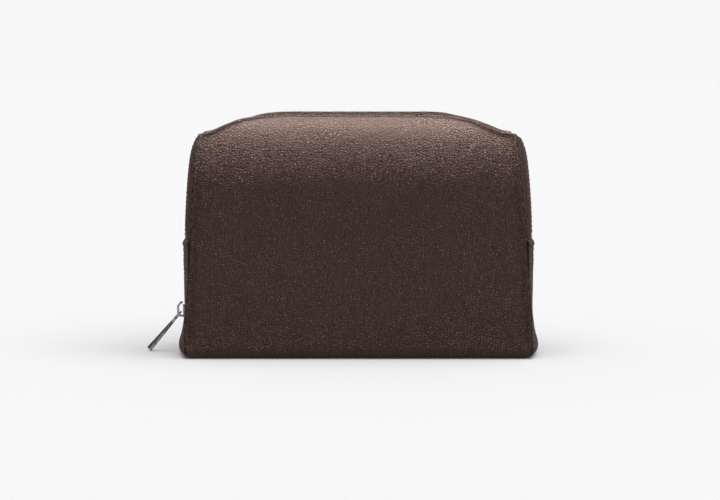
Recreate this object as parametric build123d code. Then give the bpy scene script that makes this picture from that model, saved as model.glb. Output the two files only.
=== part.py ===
from build123d import *
import math
import os

# Soft leather wash bag with a wrap-around zip, in millimetres.
# Frame: +Z up, origin on the floor under the middle of the base, front towards -Y,
# and the zip's closed end, with the slider, towards -X.
#
# The outer form is where two prisms meet. The front outline, drawn in X-Z and run
# along Y, gives the sides and the arched top. The side profile, drawn in Y-Z and run
# along X, gives the front, base and back. Each layer is the gap between two insets.
# The mouth opens as two halves that fold outwards at the side seams' height.

# ---- driving dimensions ----
SIDE_HALF_LENGTH = 129.0    # half the length over the straight part of the sides
DEPTH = 100.0               # front to back
HEIGHT = 177.0              # top of the arch, along the zip
FOLD_HEIGHT = 81.0          # side seams, where the upper halves fold out

# ---- front outline, from the sides and the top ----
BASE_FLARE = 3.0            # the base corners stand out this far past the sides
FLARE_TOP = 22.0            # the flare ends here
BASE_CORNER_RADIUS = 10.0
UPPER_LEAN = 4.0            # the sides lean in this far at the upper point
UPPER_DROP = 34.5           # the upper point, below the top
EAR_LEAN = 11.0             # the corner where the top turns into the sides
EAR_DROP = 17.5
ARCH_FLAT_HALF = 45.0       # the ridge is level this far each side
ARCH_SHOULDER_IN = 39.0     # the arch's shoulder, in from the sides
ARCH_SHOULDER_DROP = 6.0
EAR_SLOPE = (0.86, -0.5)    # the arch's direction where it meets the ear

# ---- side profile ----
BASE_EDGE_RADIUS = 9.0
SHOULDER_DROP = 52.5        # the front leans back from here up
RIDGE_SEAM_DROP = 1.7       # front panel's top edge, below the ridge
RIDGE_HALF_WIDTH = 10.0     # half the narrow top between the two panels
CHIMNEY = 15.0              # the profile's open top runs up past the ridge

# ---- layers, from outside inwards ----
LEATHER = 1.6
GAP = 0.1                   # air between layers and between sewn pieces
BACKING = 1.2               # bonded foam behind the big panels
LINING = 0.6
BOARD = 1.8                 # stiffener in the base
BOARD_END_AIR = 6.0         # the board clears the rounded lining by these
BOARD_SIDE_AIR = 5.0
BOARD_CORNER = 6.0
FOLD_GAP = 0.2              # air between the root and the folding halves

# ---- zip ----
TAPE = 0.6
TAPE_HALF_WIDTH = 14.0
TAPE_SPLIT = 0.9            # half the gap between the two tapes' chains
CHAIN_HALF_WIDTH = 2.6
CHAIN_THICKNESS = 2.4
WINDOW_HALF = 5.5           # half the slot that the zip shows through
WINDOW_BOTTOM = 22.0        # lower end of the slot in each side
TAPE_BOTTOM = 14.0
TAPE_AIR = 1.0              # backing and lining stop this far from the tape
STOP_LENGTH = 3.0
TOP_STOP_DROP = 5.5         # lower end of the top stops, below the slider's middle
BOTTOM_STOP_UP = 2.0        # lower end of the bottom stop, above the window's lower end

# ---- lip of the side panels ----
LIP_HEIGHT = 8.0
LIP_THICKNESS = 1.5
LIP_LAP = 2.6               # how far the lip reaches past the fold
SIDE_TUCK = 4.0             # the side panels turn in under the base this far

# ---- slider and pull ----
SLIDER_UP = 9.0             # centre of the slider above the window's lower end, zip closed
SLIDER_LENGTH = 11.0
SLIDER_HALF_WIDTH = 4.5
PLATE = 1.1
PLATE_CLEARANCE = 0.15
FLANGE = 0.9
FLANGE_AIR = 0.3            # the flanges clear the tape by this
FLANGE_FROM_TAIL = 2.5
FLANGE_FROM_NOSE = 3.5
NOSE_RADIUS = 2.5
TAIL_RADIUS = 1.5
POST_HALF_WIDTH = 0.5
POST_LENGTH = 3.0
POST_UP = 0.6
CROWN_RISE = 4.8
CROWN_LENGTH = 12.0
CROWN_BAR = 1.5
CROWN_WIDTH = 2.0
CROWN_FOOT = 0.74           # the hook's turns, as shares of half its length
CROWN_BEND = 0.82
CROWN_ARM = 0.43
CROWN_TIP_UP = 0.05
CROWN_BEND_RADIUS = 0.9
CROWN_GAP = 0.7             # the hook's free end clears the slider by this
SPRING = 0.35
SPRING_LENGTH = 7.0
SPRING_DROP = 2.6           # its lower end, below the hook's middle
SPRING_HALF_WIDTH = 0.8
PULL_LENGTH = 36.2          # pivot to tip
PULL_LEAST_LEAN = 12.0      # a pull too short to reach the floor clears the flare at this lean
PULL_FLOOR_AIR = 0.1        # a longer one leans out until its tip is this far off the floor
LINK_LENGTH = 9.2
LINK_BAR = 1.3
LINK_DEPTH = 2.2            # the link's two sides are deeper than its bar
LINK_SIDE_TOP = 2.2         # they start this far below the pivot, clear of the hook
LINK_CLEARANCE = 0.25
ROD_TOP_RADIUS = 1.2
ROD_TIP_RADIUS = 2.1
ROD_TIP_EDGE = 0.5
PIVOT_DROP = 2.0            # pivot below the crown's middle
PIVOT_IN = 0.2              # pivot in from the middle of the crown's rise

# ---- inside pocket ----
POCKET_HALF_LENGTH = 80.0
POCKET_BOTTOM = 20.0
POCKET_BELOW_FOLD = 7.0
POCKET_BINDING = 9.0        # the binding's height
BINDING = 1.0               # and its thickness
PATCH_LENGTH = 46.0
PATCH_HEIGHT = 18.0
PATCH = 1.2
PATCH_CORNER = 3.0

BIG = 400.0                 # past everything
REACH = 5.0                 # prisms run past the box by this
LEAST_RADIUS = 1.0          # inner corners are never sharper
CRUMB = 0.5                 # solids under this volume are cutting scraps, in cubic mm
DIAGONAL = math.sqrt(0.5)
HALF_DEPTH = DEPTH / 2


def slab(x0, x1, y0, y1, z0, z1):
    """A block between two corners."""
    middle = ((x0 + x1) / 2, (y0 + y1) / 2, (z0 + z1) / 2)
    return Pos(*middle) * Box(x1 - x0, y1 - y0, z1 - z0)


def front_outline(inset):
    """The front outline run along Y, moved in by inset."""
    ridge = HEIGHT - inset
    side = SIDE_HALF_LENGTH - inset
    base = side + BASE_FLARE
    ear_x = side - EAR_LEAN
    ear_z = HEIGHT - EAR_DROP - inset / 2
    shoulder_x = SIDE_HALF_LENGTH - ARCH_SHOULDER_IN - inset / 2
    corner = max(BASE_CORNER_RADIUS - inset, LEAST_RADIUS)
    sides = []
    for s in (1, -1):
        arch = Spline(
            (s * ARCH_FLAT_HALF, ridge),
            (s * shoulder_x, ridge - ARCH_SHOULDER_DROP),
            (s * ear_x, ear_z),
            tangents=[(s, 0), (s * EAR_SLOPE[0], EAR_SLOPE[1])],
        )
        flare = Polyline(
            (s * ear_x, ear_z),
            (s * (side - UPPER_LEAN), HEIGHT - UPPER_DROP),
            (s * side, FOLD_HEIGHT + LIP_HEIGHT),
            (s * side, FLARE_TOP),
            (s * base, BASE_CORNER_RADIUS),
        )
        turn = ThreePointArc(
            (s * base, BASE_CORNER_RADIUS),
            (s * (base - corner * (1 - DIAGONAL)),
             BASE_CORNER_RADIUS - (BASE_CORNER_RADIUS - inset) * DIAGONAL),
            (s * (base - corner), inset),
        )
        sides += [arch, flare, turn]
    top = Line((-ARCH_FLAT_HALF, ridge), (ARCH_FLAT_HALF, ridge))
    floor = Line((-(base - corner), inset), (base - corner, inset))
    face = make_face([*[e for c in sides for e in c.edges()], top.edge(), floor.edge()])
    return extrude(Plane.XZ * face, amount=HALF_DEPTH + REACH, both=True)


def side_profile(inset):
    """The side profile run along X, moved in by inset. Its top stays open as a chimney."""
    half = HALF_DEPTH - inset
    neck = RIDGE_HALF_WIDTH - inset
    shoulder = HEIGHT - SHOULDER_DROP
    rise = SHOULDER_DROP - RIDGE_SEAM_DROP
    span = HALF_DEPTH - RIDGE_HALF_WIDTH
    radius = (span ** 2 + rise ** 2) / (2 * span)
    centre_y = HALF_DEPTH - radius
    inner = radius - inset
    # the inset arc meets the inset neck where its own circle crosses it
    end_z = shoulder + math.sqrt(inner ** 2 - (neck - centre_y) ** 2)
    half_turn = math.atan2(end_z - shoulder, neck - centre_y) / 2
    mid = (centre_y + inner * math.cos(half_turn), shoulder + inner * math.sin(half_turn))
    corner = max(BASE_EDGE_RADIUS - inset, LEAST_RADIUS)
    chimney = HEIGHT + CHIMNEY
    edges = []
    for s in (1, -1):
        edges.append(Line((s * neck, chimney), (s * neck, end_z)))
        edges.append(ThreePointArc((s * neck, end_z), (s * mid[0], mid[1]), (s * half, shoulder)))
        edges.append(Line((s * half, shoulder), (s * half, inset + corner)))
        edges.append(ThreePointArc(
            (s * half, inset + corner),
            (s * (half - corner * (1 - DIAGONAL)), inset + corner * (1 - DIAGONAL)),
            (s * (half - corner), inset),
        ))
    edges.append(Line((-(half - corner), inset), (half - corner, inset)))
    edges.append(Line((-neck, chimney), (neck, chimney)))
    face = make_face([e.edge() for e in edges])
    return extrude(Plane.YZ * face, amount=SIDE_HALF_LENGTH + BASE_FLARE + REACH, both=True)


# ---- layer depths ----
BACKING_IN = LEATHER + GAP
BACKING_OUT = BACKING_IN + BACKING
LINING_IN = BACKING_OUT + GAP
LINING_OUT = LINING_IN + LINING
TAPE_IN = LEATHER + GAP
TAPE_OUT = TAPE_IN + TAPE
TAPE_MID = (TAPE_IN + TAPE_OUT) / 2
SIDE_LINING_IN = TAPE_OUT + GAP
SIDE_LINING_OUT = SIDE_LINING_IN + LINING
PANEL_JOIN = LEATHER + GAP
TAPE_NEAR = CHAIN_HALF_WIDTH + GAP / 2
SLIDER_HEIGHT = WINDOW_BOTTOM + SLIDER_UP

FRONT_PRISMS = {}
SIDE_PRISMS = {}


def front_prism(inset):
    """front_outline, built once for each inset."""
    if inset not in FRONT_PRISMS:
        FRONT_PRISMS[inset] = front_outline(inset)
    return FRONT_PRISMS[inset]


def side_prism(inset):
    """side_profile, built once for each inset."""
    if inset not in SIDE_PRISMS:
        SIDE_PRISMS[inset] = side_profile(inset)
    return SIDE_PRISMS[inset]


def panel_layer(inner, outer, ends=0.0):
    """A layer that follows front, base and back, its ends moved in from the sides."""
    return (side_prism(inner) - side_prism(outer)) & front_prism(ends)


def strip_layer(inner, outer, join):
    """A layer that follows the sides and the arch, between front and back panels."""
    return (front_prism(inner) - front_prism(outer)) & side_prism(join)


HALVES = {
    "front": slab(-BIG, BIG, -BIG, 0, FOLD_HEIGHT, BIG),
    "back": slab(-BIG, BIG, 0, BIG, FOLD_HEIGHT, BIG),
}
BELOW = slab(-BIG, BIG, -BIG, BIG, -1, FOLD_HEIGHT - FOLD_GAP)
SIDE_TURN_IN = SIDE_HALF_LENGTH + BASE_FLARE - BASE_CORNER_RADIUS - SIDE_TUCK
SIDES = {
    "left": slab(-BIG, -SIDE_TURN_IN, -BIG, BIG, -1, BIG),
    "right": slab(SIDE_TURN_IN, BIG, -BIG, BIG, -1, BIG),
}
SIGN = {"left": -1, "right": 1, "front": -1, "back": 1}


def y_band(near, far, side):
    """The space between two distances from the zip's plane, on one side of it."""
    low, high = sorted((SIGN[side] * near, SIGN[side] * far))
    return slab(-BIG, BIG, low, high, -1, BIG)


def clear_of_tape(half):
    """The space in front of or behind the zip's tape."""
    return y_band(TAPE_HALF_WIDTH + TAPE_AIR, BIG, half)


def solid_of(shape):
    """The shape's solids as one node, largest first, without crumbs."""
    found = sorted(shape.solids(), key=lambda s: -s.volume)
    kept = [s for s in found if s.volume > CRUMB]
    return kept[0] if len(kept) == 1 else Compound(children=kept)


# ---- leather ----
def leather_panels():
    """The big panels: the folding front and back, and the wrap under them."""
    whole = panel_layer(0, LEATHER)
    pieces = {f"{h}_upper_panel": whole & HALVES[h] for h in HALVES}
    pieces["body_wrap"] = whole & BELOW
    return pieces


def gusset_strips():
    """The strips beside the zip, from one side seam over the arch to the other."""
    whole = strip_layer(0, LEATHER, PANEL_JOIN)
    return {f"{h}_gusset_strip": whole & HALVES[h] & y_band(WINDOW_HALF, BIG, h) for h in HALVES}


def side_panels():
    """The lower side panels, slotted for the zip, with a turned lip over the strips."""
    whole = strip_layer(0, LEATHER, PANEL_JOIN) & BELOW
    whole -= slab(-BIG, BIG, -WINDOW_HALF, WINDOW_HALF, WINDOW_BOTTOM, BIG)
    lip_top = FOLD_HEIGHT + LIP_LAP
    lip_band = slab(-BIG, BIG, -(HALF_DEPTH - PANEL_JOIN), HALF_DEPTH - PANEL_JOIN,
                    lip_top - LIP_HEIGHT, lip_top)
    lip_band -= slab(-BIG, BIG, -WINDOW_HALF, WINDOW_HALF, -1, BIG)
    lip = (front_prism(-LIP_THICKNESS) - front_prism(0)) & lip_band
    # the lip leaves the strips free to lift out behind it
    lip_air = front_prism(-GAP) & slab(-BIG, BIG, -BIG, BIG, FOLD_HEIGHT - FOLD_GAP, BIG)
    return {f"{s}_side_panel": ((whole + lip) - lip_air) & SIDES[s] for s in SIDES}


# ---- hidden layers ----
def backings():
    """Foam behind the leather panels, which lets the bag stand by itself."""
    whole = panel_layer(BACKING_IN, BACKING_OUT, SIDE_LINING_IN)
    pieces = {f"{h}_upper_backing": whole & HALVES[h] & clear_of_tape(h) for h in HALVES}
    pieces["lower_backing"] = whole & BELOW
    return pieces


def linings():
    """The cloth bag inside: two folding halves and the tub below them."""
    faces = panel_layer(LINING_IN, LINING_OUT, SIDE_LINING_IN)
    faces = faces & (BELOW + clear_of_tape("front") + clear_of_tape("back"))
    ends = strip_layer(SIDE_LINING_IN, SIDE_LINING_OUT, LINING_IN)
    ends -= slab(-BIG, BIG, -BIG, BIG, -1, LINING_IN)
    above = slab(-BIG, BIG, -BIG, BIG, FOLD_HEIGHT - FOLD_GAP, BIG)
    ends = ends & (above + SIDES["left"] + SIDES["right"])
    ends -= slab(-BIG, BIG, -WINDOW_HALF, WINDOW_HALF, WINDOW_BOTTOM, BIG)
    whole = faces + ends
    pieces = {f"{h}_upper_lining": whole & HALVES[h] for h in HALVES}
    pieces["lining_tub"] = whole & BELOW
    return pieces


def base_board():
    """The stiffener that lies on the lining's floor under its own weight."""
    half_x = SIDE_HALF_LENGTH - SIDE_LINING_OUT - BOARD_END_AIR
    half_y = HALF_DEPTH - LINING_OUT - BOARD_SIDE_AIR
    low = LINING_OUT + GAP
    block = slab(-half_x, half_x, -half_y, half_y, low, low + BOARD)
    return {"base_board": fillet(block.edges().filter_by(Axis.Z), BOARD_CORNER)}


# ---- zip ----
def zip_parts():
    """Tapes and chains of both halves, the lower runs in the sides, and the stops."""
    tape = front_prism(TAPE_IN) - front_prism(TAPE_OUT)
    half_chain = CHAIN_THICKNESS / 2
    chain = front_prism(TAPE_MID - half_chain) - front_prism(TAPE_MID + half_chain)
    pieces = {}
    for h in HALVES:
        upper = tape & side_prism(BACKING_OUT) & HALVES[h]
        pieces[f"zip_tape_{h}"] = upper & y_band(TAPE_NEAR, TAPE_HALF_WIDTH, h)
        pieces[f"zip_chain_{h}"] = chain & HALVES[h] & y_band(TAPE_SPLIT, CHAIN_HALF_WIDTH, h)
    low_tape = slab(-BIG, BIG, -BIG, BIG, TAPE_BOTTOM, FOLD_HEIGHT - FOLD_GAP)
    stops_low = {"left": SLIDER_HEIGHT - TOP_STOP_DROP, "right": WINDOW_BOTTOM + BOTTOM_STOP_UP}
    for s in SIDES:
        run = tape & low_tape & SIDES[s]
        tapes = [run & y_band(TAPE_NEAR, TAPE_HALF_WIDTH, h) for h in HALVES]
        pieces[f"{s}_zip_tapes"] = tapes[0] + tapes[1]
        chain_bottom = stops_low[s] + STOP_LENGTH + GAP
        run = chain & slab(-BIG, BIG, -BIG, BIG, chain_bottom, FOLD_HEIGHT - FOLD_GAP) & SIDES[s]
        chains = [run & y_band(TAPE_SPLIT, CHAIN_HALF_WIDTH, h) for h in HALVES]
        pieces[f"{s}_zip_chains"] = chains[0] + chains[1]
    low = stops_low["left"]
    run = chain & slab(-BIG, BIG, -BIG, BIG, low, low + STOP_LENGTH) & SIDES["left"]
    tops = [run & y_band(TAPE_SPLIT, CHAIN_HALF_WIDTH, h) for h in HALVES]
    pieces["zip_top_stops"] = tops[0] + tops[1]
    low = stops_low["right"]
    middle = slab(-BIG, BIG, -CHAIN_HALF_WIDTH, CHAIN_HALF_WIDTH, low, low + STOP_LENGTH)
    pieces["zip_bottom_stop"] = chain & middle & SIDES["right"]
    return pieces


# ---- slider and pull ----
CHAIN_X = -(SIDE_HALF_LENGTH - TAPE_MID)
PLATE_NEAR = CHAIN_THICKNESS / 2 + PLATE_CLEARANCE
PLATE_FAR = PLATE_NEAR + PLATE
CROWN_X = CHAIN_X - PLATE_FAR
CROWN_MID = SLIDER_HEIGHT
PIVOT = (CROWN_X - CROWN_RISE / 2 + PIVOT_IN, 0.0, CROWN_MID - PIVOT_DROP)


def slider_body():
    """Two plates around the chain, joined by a slim post, with flanges over the tape."""
    z0, z1 = SLIDER_HEIGHT - SLIDER_LENGTH / 2, SLIDER_HEIGHT + SLIDER_LENGTH / 2
    body = None
    for s in (-1, 1):
        near, far = sorted((CHAIN_X + s * PLATE_NEAR, CHAIN_X + s * PLATE_FAR))
        plate = slab(near, far, -SLIDER_HALF_WIDTH, SLIDER_HALF_WIDTH, z0, z1)
        plate = fillet(plate.edges().filter_by(Axis.X).group_by(Axis.Z)[-1], NOSE_RADIUS)
        plate = fillet(plate.edges().filter_by(Axis.X).group_by(Axis.Z)[0], TAIL_RADIUS)
        body = plate if body is None else body + plate
        reach = sorted((CHAIN_X + s * (TAPE / 2 + FLANGE_AIR), CHAIN_X + s * PLATE_FAR))
        for side in (-1, 1):
            walls = sorted((side * (SLIDER_HALF_WIDTH - FLANGE), side * SLIDER_HALF_WIDTH))
            body += slab(*reach, *walls, z0 + FLANGE_FROM_TAIL, z1 - FLANGE_FROM_NOSE)
    post = slab(CHAIN_X - PLATE_FAR, CHAIN_X + PLATE_FAR, -POST_HALF_WIDTH, POST_HALF_WIDTH,
                z0 + POST_UP, z0 + POST_UP + POST_LENGTH)
    return body + post


def slider_crown():
    """The open hook that the pull hangs in: fixed below, its upper end free."""
    half = CROWN_LENGTH / 2
    outer = CROWN_RISE - CROWN_BAR / 2
    turns = [(CROWN_X - out, CROWN_MID + up * half) for out, up in (
        (0, -CROWN_FOOT), (outer / 2, -CROWN_BEND), (outer, -CROWN_ARM),
        (outer, CROWN_ARM), (outer / 2, CROWN_BEND + CROWN_TIP_UP), (CROWN_GAP, CROWN_BEND),
    )]
    bent = FilletPolyline(*turns, radius=CROWN_BEND_RADIUS)
    band = trace(bent, CROWN_BAR)
    hook = extrude(Plane.XZ * band, amount=CROWN_WIDTH / 2, both=True)
    return hook - slab(CROWN_X, BIG, -BIG, BIG, -1, BIG)


def lock_spring():
    """Leaf spring under the hook that locks the slider."""
    z0 = CROWN_MID - SPRING_DROP
    x0 = CROWN_X - GAP - SPRING
    return slab(x0, x0 + SPRING, -SPRING_HALF_WIDTH, SPRING_HALF_WIDTH, z0, z0 + SPRING_LENGTH)


def pull_lean():
    """How far the pull leans out, in degrees, when its tip rests on the floor."""
    reach = math.hypot(PULL_LENGTH, ROD_TIP_RADIUS)
    drop = min(1.0, (PIVOT[2] - PULL_FLOOR_AIR) / reach)
    lean = math.degrees(math.acos(drop) + math.atan2(ROD_TIP_RADIUS, PULL_LENGTH))
    return max(lean, PULL_LEAST_LEAN)


def pull_rod():
    """Long link and tapered rod, built hanging straight down and then leaned out."""
    arm_y = CROWN_WIDTH / 2 + LINK_CLEARANCE + LINK_BAR / 2
    ring = RectangleRounded(2 * arm_y + LINK_BAR, LINK_LENGTH + LINK_BAR, LINK_BAR)
    ring -= Rectangle(2 * arm_y - LINK_BAR, LINK_LENGTH - LINK_BAR)
    link = extrude(Plane.YZ * (Pos(0, -LINK_LENGTH / 2) * ring), amount=LINK_BAR / 2, both=True)
    cheek = Box(LINK_DEPTH, LINK_BAR, LINK_LENGTH - LINK_SIDE_TOP)
    for side in (-1, 1):
        link += Pos(0, side * arm_y, -(LINK_LENGTH + LINK_SIDE_TOP) / 2) * cheek
    rod_length = PULL_LENGTH - LINK_LENGTH
    rod = Pos(0, 0, -LINK_LENGTH - rod_length / 2) * Cone(ROD_TIP_RADIUS, ROD_TOP_RADIUS, rod_length)
    rod = fillet(rod.edges().group_by(Axis.Z)[0], ROD_TIP_EDGE)
    return Pos(*PIVOT) * (Rot(0, pull_lean(), 0) * (link + rod))


# ---- inside pocket, on the back wall ----
def pocket():
    """Slip pocket of lining cloth with a leather binding and a plain leather patch."""
    wall = HALF_DEPTH - LINING_OUT - GAP
    top = FOLD_HEIGHT - POCKET_BELOW_FOLD
    cloth = slab(-POCKET_HALF_LENGTH, POCKET_HALF_LENGTH, wall - LINING, wall, POCKET_BOTTOM, top)
    face = wall - LINING - GAP
    rim = slab(-POCKET_HALF_LENGTH, POCKET_HALF_LENGTH, face - BINDING, face, top - POCKET_BINDING, top)
    low = (POCKET_BOTTOM + top - POCKET_BINDING - PATCH_HEIGHT) / 2
    patch = slab(-PATCH_LENGTH / 2, PATCH_LENGTH / 2, face - PATCH, face, low, low + PATCH_HEIGHT)
    return {
        "slip_pocket": cloth,
        "pocket_binding": rim,
        "leather_patch": fillet(patch.edges().filter_by(Axis.Y), PATCH_CORNER),
    }


def build():
    """Every node by name."""
    nodes = {}
    for group in (leather_panels(), gusset_strips(), side_panels(), backings(), linings(),
                  base_board(), zip_parts(), pocket()):
        nodes.update(group)
    nodes["slider_body"] = slider_body()
    nodes["slider_crown"] = slider_crown()
    nodes["lock_spring"] = lock_spring()
    nodes["pull_rod"] = pull_rod()
    return nodes


os.makedirs("parts", exist_ok=True)
for name, shape in build().items():
    export_step(solid_of(shape), f"parts/{name}.step")
print("pull pivot", [round(v, 3) for v in PIVOT], "lean", round(pull_lean(), 2))
print("fold axes at y", -HALF_DEPTH, HALF_DEPTH, "z", FOLD_HEIGHT)
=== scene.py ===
"""Looks of the shaving kit bag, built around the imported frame. Lengths are in mm until a mesh is made."""

import math

import bmesh
import bpy
import numpy as np
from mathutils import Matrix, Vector, noise


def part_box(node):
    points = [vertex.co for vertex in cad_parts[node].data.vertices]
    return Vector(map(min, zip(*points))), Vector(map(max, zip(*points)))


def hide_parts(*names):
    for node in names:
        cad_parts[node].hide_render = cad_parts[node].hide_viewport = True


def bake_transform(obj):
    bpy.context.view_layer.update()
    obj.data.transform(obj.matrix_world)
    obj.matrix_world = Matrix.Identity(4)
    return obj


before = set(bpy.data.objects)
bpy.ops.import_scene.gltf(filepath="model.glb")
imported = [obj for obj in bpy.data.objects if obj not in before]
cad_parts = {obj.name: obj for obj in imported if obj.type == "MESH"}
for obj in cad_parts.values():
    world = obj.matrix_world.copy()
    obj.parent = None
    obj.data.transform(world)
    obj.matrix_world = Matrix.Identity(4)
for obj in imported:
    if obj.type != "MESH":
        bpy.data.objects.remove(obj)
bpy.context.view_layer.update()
MM = 0.001
CORE = np.array([0, 0, 70.0])  # a point inside the bag: outward means away from it

# ---- sizes that the frame gives ----
top_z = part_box("front_gusset_strip")[1].z / MM
half_depth = -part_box("body_wrap")[0].y / MM
fold_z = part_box("front_upper_panel")[0].z / MM


# ---- curves of the form ----
def smooth_curve(points):
    """A smooth function through points that never overshoots them."""
    x, y = np.array(points, float).T
    h = np.diff(x)
    d = np.diff(y) / h
    m = np.zeros_like(x)
    for i in range(1, len(x) - 1):
        if d[i - 1] * d[i] > 0:
            m[i] = 2 * d[i - 1] * d[i] / (d[i - 1] + d[i])
    m[0], m[-1] = d[0], d[-1]

    def value(q):
        q = np.clip(np.asarray(q, float), x[0], x[-1])
        i = np.clip(np.searchsorted(x, q, side="right") - 1, 0, len(x) - 2)
        t = (q - x[i]) / h[i]
        return ((1 + 2 * t) * (1 - t) ** 2 * y[i] + t * (1 - t) ** 2 * h[i] * m[i]
                + t * t * (3 - 2 * t) * y[i + 1] + t * t * (t - 1) * h[i] * m[i + 1])
    return value


def smoothstep(low, high, q):
    """Rises softly from 0 at low to 1 at high."""
    t = np.clip((np.asarray(q, float) - low) / (high - low), 0, 1)
    return t * t * (3 - 2 * t)


def hill(q, centre, spread):
    """A soft hill of height 1."""
    return np.exp(-((q - centre) / spread) ** 2)


EAR_X = 119.2
EAR_FALL = 19.4              # the arch's end, below its top
SEAM_EAR_X = 115.0
SEAM_EAR_Z = top_z - 15.4
SEAM_DROP = 2.4
SHOULDER_LEAN = 5.2          # the right shoulder takes its height from this much further out
UPPER_RIGHT_IN = 1.9         # the right side's upper seam leans in by this much more
BASE_Z = 0.45                # the leather's outer face under the base
SAG = 1.1                    # how far a wall sags in at its middle
SAG_Z = 88.0
SAG_SPREAD = 34.0
# height above the floor -> half length of the front panel, at its seams
seam_width = smooth_curve([(0, 120.4), (1.0, 122.8), (3.0, 124.8), (7, 125.6), (20, 125.2), (45, 123.5),
                           (81, 121.3), (120, 119), (145, 117.2), (SEAM_EAR_Z, SEAM_EAR_X)])
# height above the floor -> half length halfway back, along the zip
side_width = smooth_curve([(0, 121.0), (0.8, 126), (2.4, 130.2), (5, 132.2), (8, 132.4), (15, 130.8),
                           (23, 128.9), (33, 127.8), (42, 127.9), (60, 128.2), (81, 127.6), (96, 127.2),
                           (111, 126.5), (125, 125.5), (140, 124.0), (149, 122.4),
                           (top_z - EAR_FALL, EAR_X)])
# distance from the middle -> height of the panels' upper seams, drawn to the ear at EAR_X
seam_z = smooth_curve([(0, top_z - SEAM_DROP), (50, top_z - SEAM_DROP), (64, top_z - 2.7),
                       (74, top_z - 3.3), (82, top_z - 4.2), (91, top_z - 5.9), (102, top_z - 9.9),
                       (113, top_z - 14.2), (EAR_X, SEAM_EAR_Z)])
# distance from the middle, left below zero -> height of the zip's arch
arch_z = smooth_curve([(-EAR_X, top_z - EAR_FALL), (-110, top_z - 15.9), (-100, top_z - 11.6),
                       (-90, top_z - 7.6), (-80, top_z - 4.3), (-70, top_z - 1.6), (-60, top_z - 0.4),
                       (-48, top_z), (48, top_z), (60, top_z - 0.4), (70, top_z - 1.5), (80, top_z - 3.4),
                       (90, top_z - 5.9), (98, top_z - 8.7), (103, top_z - 10.6), (108, top_z - 13.0),
                       (113, top_z - 15.8), (EAR_X, top_z - EAR_FALL)])


def half_path():
    """Points (distance from the middle plane, height) from under the base up to the ridge."""
    low, edge, shoulder, neck = BASE_Z, 8.0, 123.5, 9.0
    wall = half_depth - 0.25
    points = [(0.0, low), (20.0, low), (wall - edge, low)]
    for k in range(1, 10):
        turn = k / 9 * math.pi / 2
        points.append((wall - edge + edge * math.sin(turn), low + edge - edge * math.cos(turn)))
    for z in (30, 60, 90, shoulder):
        points.append((wall, z))
    rise, span = top_z - SEAM_DROP - shoulder, wall - neck
    radius = (span ** 2 + rise ** 2) / (2 * span)
    last = math.asin(rise / radius)
    for k in range(1, 31):
        turn = k / 30 * last
        points.append((wall - radius + radius * math.cos(turn), shoulder + radius * math.sin(turn)))
    return np.array(points)


PATH = half_path()
STEPS = np.concatenate([[0], np.cumsum(np.hypot(*np.diff(PATH, axis=0).T))])
DENSE = np.linspace(0, STEPS[-1], 1200)
DENSE_Y = np.interp(DENSE, STEPS, PATH[:, 0])
DENSE_Z = np.interp(DENSE, STEPS, PATH[:, 1])


def leaned(x):
    """The right shoulder sits a little lower: the place on the arch curves that x takes its height from."""
    return x + SHOULDER_LEAN * smoothstep(52, 74, x) * (1 - smoothstep(99, EAR_X, x))


def panel_top(a):
    """Height of the front panel's upper seam at share a of its half length."""
    return seam_z(np.abs(leaned(a * EAR_X)))


def path_end(z):
    """How far along the path a height above the base's edge is."""
    return np.interp(z, DENSE_Z, DENSE)


def panel_point(a, b, side):
    """A point of the front (side -1) or back (side 1) panel: a across, b from the base's middle up."""
    length = path_end(panel_top(a))
    along = b * length
    y = np.interp(along, DENSE, DENSE_Y)
    z = np.interp(along, DENSE, DENSE_Z)
    x = a * seam_width(z) - UPPER_RIGHT_IN * smoothstep(85, 135, z) * np.maximum(a, 0) ** 3
    wall = smoothstep(2, 16, z)
    pull_in = 2.6 * np.abs(a) ** 8 + 0.9 * a ** 2
    sag = SAG * hill(z, SAG_Z, SAG_SPREAD) * (1 - a ** 2) - 0.15
    y = y - wall * (pull_in + sag)
    return np.stack([x, side * y, z], -1)


def seam_curve():
    """The seam between panel and gusset, and the line halfway back, as two matched lists of points."""
    heights = np.concatenate([np.linspace(0, 12, 60)[:-1], np.linspace(12, top_z - EAR_FALL, 200)])
    seam, middle = [], []
    for s, order in ((-1, 1), (1, -1)):
        share = (heights / heights[-1])[::order]
        z_seam = share * panel_top(1.0)
        level = path_end(np.maximum(z_seam, BASE_Z + 0.01)) / path_end(panel_top(1.0))
        edge = panel_point(np.full_like(share, s * 1.0), level, -1)
        z_mid = share * heights[-1]
        mid = np.stack([s * side_width(z_mid), 0 * z_mid, np.maximum(z_mid, BASE_Z)], -1)
        if s < 0:
            seam, middle = [edge], [mid]
            a = np.linspace(-1, 1, 400)[1:-1]
            seam.append(panel_point(a, np.ones_like(a), -1))
            middle.append(np.stack([a * EAR_X, 0 * a, arch_z(leaned(a * EAR_X))], -1))
        else:
            seam.append(edge)
            middle.append(mid)
    return np.concatenate(seam), np.concatenate(middle)


SEAM, MIDDLE = seam_curve()
ALONG = np.concatenate([[0], np.cumsum(np.linalg.norm(np.diff(MIDDLE, axis=0), axis=1))])
ALONG -= ALONG[-1] / 2
END = ALONG[-1]


def at(curve, s):
    return np.stack([np.interp(s, ALONG, curve[:, k]) for k in range(3)], -1)


def side_length_at(z):
    """Distance along the zip's line, on the right side, of a height."""
    right = MIDDLE[:, 0] > EAR_X
    heights, along = MIDDLE[right, 2], ALONG[right]
    order = np.argsort(heights)
    return float(np.interp(z, heights[order], along[order]))


def gusset_point(s, y):
    """A point of the gusset: s along the zip's line, y from front to back."""
    edge, mid = at(SEAM, s), at(MIDDLE, s)
    w = np.clip(np.abs(y / edge[..., 1]), 0, 1)
    bulge = (1 - w ** 2.3)[..., None]
    p = edge * (1 - bulge) + mid * bulge
    p[..., 1] = y
    return p


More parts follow.
